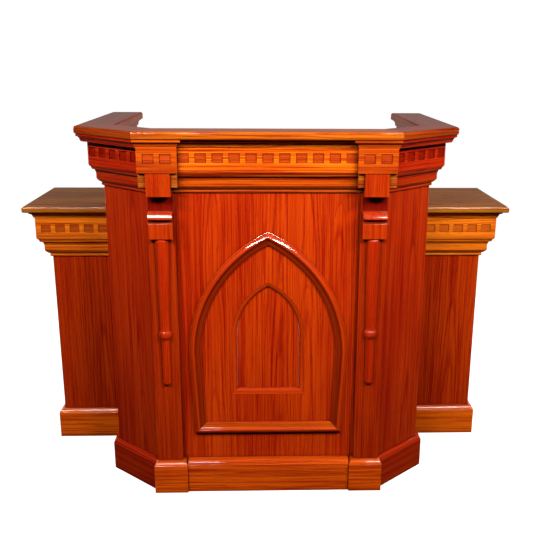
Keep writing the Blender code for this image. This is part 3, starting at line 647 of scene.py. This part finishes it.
def build_corbels():
    for side, word in ((1, "right"), (-1, "left")):
        name = "corbel_" + word
        low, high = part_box(name)
        outline, scotia = corbel_outline(low[2], high[2], PANEL_Y - low[1])
        bm = bmesh.new()
        faces = []
        for x in (low[0], high[0]):
            faces.append([bm.verts.new((x, PANEL_Y - out, up)) for out, up in outline])
        for index in range(len(outline)):
            follow = (index + 1) % len(outline)
            strip = bm.faces.new((faces[0][index], faces[0][follow], faces[1][follow], faces[1][index]))
            # The scotia's strips take the second material, the darker stain painted as shadow under the
            # head.
            strip.material_index = 1 if index in scotia else 0
        for corners in faces:
            bm.faces.new(corners)
        piece = finer(name + "_carved", bm, (name,), 180.0)
        add_bevel(piece, 0.0009, 50.0, 3)
        lie = (UP, FRONTWARD, (side * COLUMN_X, PANEL_Y - 0.04, 0.96))
        finish_with(piece, "corbel", 95 + side, lie)
        # second material: the scotia's painted shadow
        finish_with(piece, "scotia", 95 + side, lie)


def lancet_outline(inset, steps=28):
    """The pointed opening drawn in by `inset`, as (x, up) from the bottom left corner round."""
    half = LANCET_HALF - inset
    radius = LANCET_HALF + LANCET_CENTRE - inset
    apex_turn = math.acos(LANCET_CENTRE / radius)
    right = []
    for step in range(steps):
        turn = apex_turn * step / steps
        right.append((radius * math.cos(turn) - LANCET_CENTRE, LANCET_SPRING + radius * math.sin(turn)))
    apex = [(0.0, LANCET_SPRING + radius * math.sin(apex_turn))]
    corners = [(-half, LANCET_FOOT + inset), (half, LANCET_FOOT + inset)]
    return corners + right + apex + [(-x, up) for x, up in reversed(right)]


def lancet_profile():
    """The opening's moulded edge, as (inset, depth): fillet, quirk, round, and a steep fall."""
    fillet = [(0.0002, 0.0009), (0.0004, -0.0006), (0.0022, -0.0006), (0.0028, 0.0000)]
    rounded = [(0.0034, 0.0020), (0.0080, 0.0026), (0.0120, 0.0042), (0.0148, 0.0070), (0.0158, 0.0100)]
    fall = [(0.0160, 0.0117), (0.0170, 0.0118), (0.0100, 0.0080)]
    return fillet + [tuple(point) for point in smooth_path(rounded, 3)] + fall


def build_lancet_moulding():
    rings = []
    outlines = [(lancet_outline(inset), depth) for inset, depth in lancet_profile()]
    for index in range(len(outlines[0][0])):
        rings.append([(outline[index][0], PANEL_Y + depth, outline[index][1])
                      for outline, depth in outlines])
    bm = bmesh.new()
    skin(bm, rings + rings[:1], close_ends=False)
    bmesh.ops.remove_doubles(bm, verts=bm.verts, dist=0.00002)
    piece = finer("lancet_moulding", bm)
    finish_with(piece, "panel", 86, contrast=0.8)


# ---------------------------------------------------------------- the sunk squares' punched fields
# which corner of a cell is a pyramid's peak, by whether its row and column are odd
PEAK_CORNER = {(1, 1): 0, (1, 0): 1, (0, 0): 2, (0, 1): 3}


def punched_field(bm, centre, along, out, number):
    """A low field of small pyramids that fills a sunk square, in the piece's material `number`."""
    margin, foot, peak = 0.0006, 0.0004, 0.0011
    wide, tall = SQUARE[0] / 2 - margin, SQUARE[1] / 2 - margin
    columns, rows = 12, 10
    grid = []
    for row in range(rows + 1):
        level = centre + UP * (tall * (2 * row / rows - 1))
        places = [level + along * (wide * (2 * column / columns - 1))
                  + out * (peak if row % 2 and column % 2 else foot) for column in range(columns + 1)]
        grid.append([bm.verts.new(place) for place in places])
    for row in range(rows):
        for column in range(columns):
            corners = (grid[row][column], grid[row][column + 1],
                       grid[row + 1][column + 1], grid[row + 1][column])
            first = PEAK_CORNER[row % 2, column % 2]
            order = corners[first:] + corners[:first]
            for triangle in (order[:3], (order[0], order[2], order[3])):
                bm.faces.new(triangle).material_index = number


def square_rows():
    """Every row of squares: its middle, outward way, floor, places along it and material number."""
    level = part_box("frieze_front")[0][2] - GAP + SQUARE_FOOT + SQUARE[1] / 2
    wing_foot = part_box("wing_top_right")[0][2] - BED_HEIGHT - WING_FRIEZE_HEIGHT
    wing_level = wing_foot + WING_SQUARE_FOOT + SQUARE[1] / 2
    floor, capital_floor = FRIEZE_OUT - SQUARE_DEEP, CAPITAL_OUT - SQUARE_DEEP
    side_y = PANEL_Y + (SIDE_X - CORNER_X) * math.tan(ANGLE_TURN)
    middle_y = (side_y + SIDE_HIGH[1]) / 2
    wing_x, wing_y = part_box("wing_panel_side_right")[1][0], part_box("wing_panel_front_right")[0][1]
    row_x = wing_x + FRIEZE_OUT - SQUARE_END - 2 * SQUARE_PITCH
    row_y = wing_y - FRIEZE_OUT + SQUARE_END + 3 * SQUARE_PITCH
    rows = [((0, PANEL_Y, level), FRONTWARD, floor, spaced(11), 0)]
    for side in (1, -1):
        angle = Vector((side * math.sin(ANGLE_TURN), -math.cos(ANGLE_TURN), 0))
        angle_middle = (side * (CORNER_X + SIDE_X) / 2, (PANEL_Y + side_y) / 2, level)
        sideways = Vector((side, 0, 0))
        rows += [
            # Rows on the angled and side walls take material 1, the darker square stain painted as
            # shade.
            (angle_middle, angle, floor, spaced(5), 1),
            ((side * SIDE_X, middle_y, level), sideways, floor, spaced(11), 1),
            ((side * CAPITAL_X, PANEL_Y, level), FRONTWARD, capital_floor, spaced(2), 0),
            ((side * row_x, wing_y, wing_level), FRONTWARD, floor, spaced(5), 2),
            ((side * wing_x, row_y, wing_level), sideways, floor, spaced(7), 2),
        ]
    return rows


def spaced(count):
    return [(index - (count - 1) / 2) * SQUARE_PITCH for index in range(count)]


def build_square_fields():
    bm = bmesh.new()
    for middle, out, floor, places, number in square_rows():
        along = UP.cross(out)
        for place in places:
            punched_field(bm, Vector(middle) + along * place + out * (floor + GAP), along, out, number)
    piece = new_piece("square_fields", bm)
    lie = (ALONG_X, FRONTWARD, (0, PANEL_Y, 1.137))
    # the second of these stains paints shade on the angled and side rows
    for stain in ("square", "angle_square", "wing_square"):
        finish_with(piece, stain, 97, lie, coat=0.15)


# ---------------------------------------------------------------- studio
def build_floor():
    """A plain pale floor, bright of itself, so that only faint shadows lie on it."""
    mesh = bpy.data.meshes.new("floor")
    bm = bmesh.new()
    bmesh.ops.create_circle(bm, cap_ends=True, segments=96, radius=40.0)
    bm.to_mesh(mesh)
    bm.free()
    floor = bpy.data.objects.new("floor", mesh)
    bpy.context.scene.collection.objects.link(floor)
    floor.visible_glossy = False
    floor.visible_diffuse = False
    material = bpy.data.materials.new("pale_floor")
    material.use_nodes = True
    shader = material.node_tree.nodes["Principled BSDF"]
    shader.inputs["Base Color"].default_value = (0.30, 0.30, 0.30, 1.0)
    shader.inputs["Roughness"].default_value = 0.9
    shader.inputs["Specular IOR Level"].default_value = 0.0
    shader.inputs["Emission Color"].default_value = (1.0, 1.0, 1.0, 1.0)
    shader.inputs["Emission Strength"].default_value = 1.0
    mesh.materials.append(material)


def softbox(name, place, target, size, watts, spread=180.0):
    """A rectangular light that looks at its target; a narrow spread acts like a grid on it."""
    light = bpy.data.lights.new(name, "AREA")
    light.shape = "RECTANGLE"
    light.size, light.size_y = size
    light.energy = watts
    light.spread = math.radians(spread)
    lamp = bpy.data.objects.new(name, light)
    bpy.context.scene.collection.objects.link(lamp)
    lamp.location = place
    lamp.rotation_euler = (Vector(target) - Vector(place)).to_track_quat("-Z", "Y").to_euler()


def build_lights():
    """Key from the upper right, a weaker fill from the upper left, and soft lights behind."""
    softbox("key", (1.40, -2.0, 2.45), (0.0, -0.32, 1.0), (1.7, 0.16), 42.0, 95.0)
    softbox("fill", (-1.05, -2.1, 2.45), (0.0, -0.32, 1.0), (1.65, 0.16), 34.0, 95.0)
    softbox("above", (0.3, 3.0, 3.8), (0.0, 0.2, 0.7), (1.6, 1.2), 12.0)
    softbox("back_right", (2.7, 2.3, 1.3), (0.0, 0.0, 0.7), (1.6, 1.2), 36.0, 100.0)
    softbox("back_left", (-2.7, 2.3, 1.3), (0.0, 0.0, 0.7), (1.6, 1.2), 30.0, 100.0)


def build_world():
    """White to the eye; dark in front of the object and a dim grey behind it."""
    world = bpy.data.worlds.new("studio")
    bpy.context.scene.world = world
    world.use_nodes = True
    tree = world.node_tree
    background = tree.nodes["Background"]
    place = tree.nodes.new("ShaderNodeTexCoord")
    split = tree.nodes.new("ShaderNodeSeparateXYZ")
    feed(tree, split.inputs[0], place.outputs["Generated"])
    behind = span(tree, split.outputs["Y"], 0.1, 0.9)
    low = span(tree, split.outputs["Z"], 0.08, 0.22, 1.0, 0.25)
    pale = math_node(tree, "MULTIPLY", behind, low)
    around = blend(tree, pale, (0.012, 0.011, 0.010), (0.21, 0.20, 0.19))
    path = tree.nodes.new("ShaderNodeLightPath")
    seen = blend(tree, path.outputs["Is Camera Ray"], around, (1.0, 1.0, 1.0))
    feed(tree, background.inputs["Color"], seen)


def build_camera():
    camera = bpy.data.cameras.new("camera")
    camera.lens = 50.65
    camera.sensor_width = 36.0
    camera.shift_x = -0.045
    camera.shift_y = 0.0012
    view = bpy.data.objects.new("camera", camera)
    bpy.context.scene.collection.objects.link(view)
    view.location = (-0.0051, -2.6256, 1.4301)
    view.rotation_euler = (math.pi / 2 - 0.2728, -0.0063, -0.0314)
    bpy.context.scene.camera = view


# ---------------------------------------------------------------- build
dress_body()
build_arch()
build_columns()
build_corbels()
build_lancet_moulding()
build_square_fields()
build_floor()
build_lights()
build_world()
build_camera()
bpy.context.scene.view_settings.view_transform = "Standard"
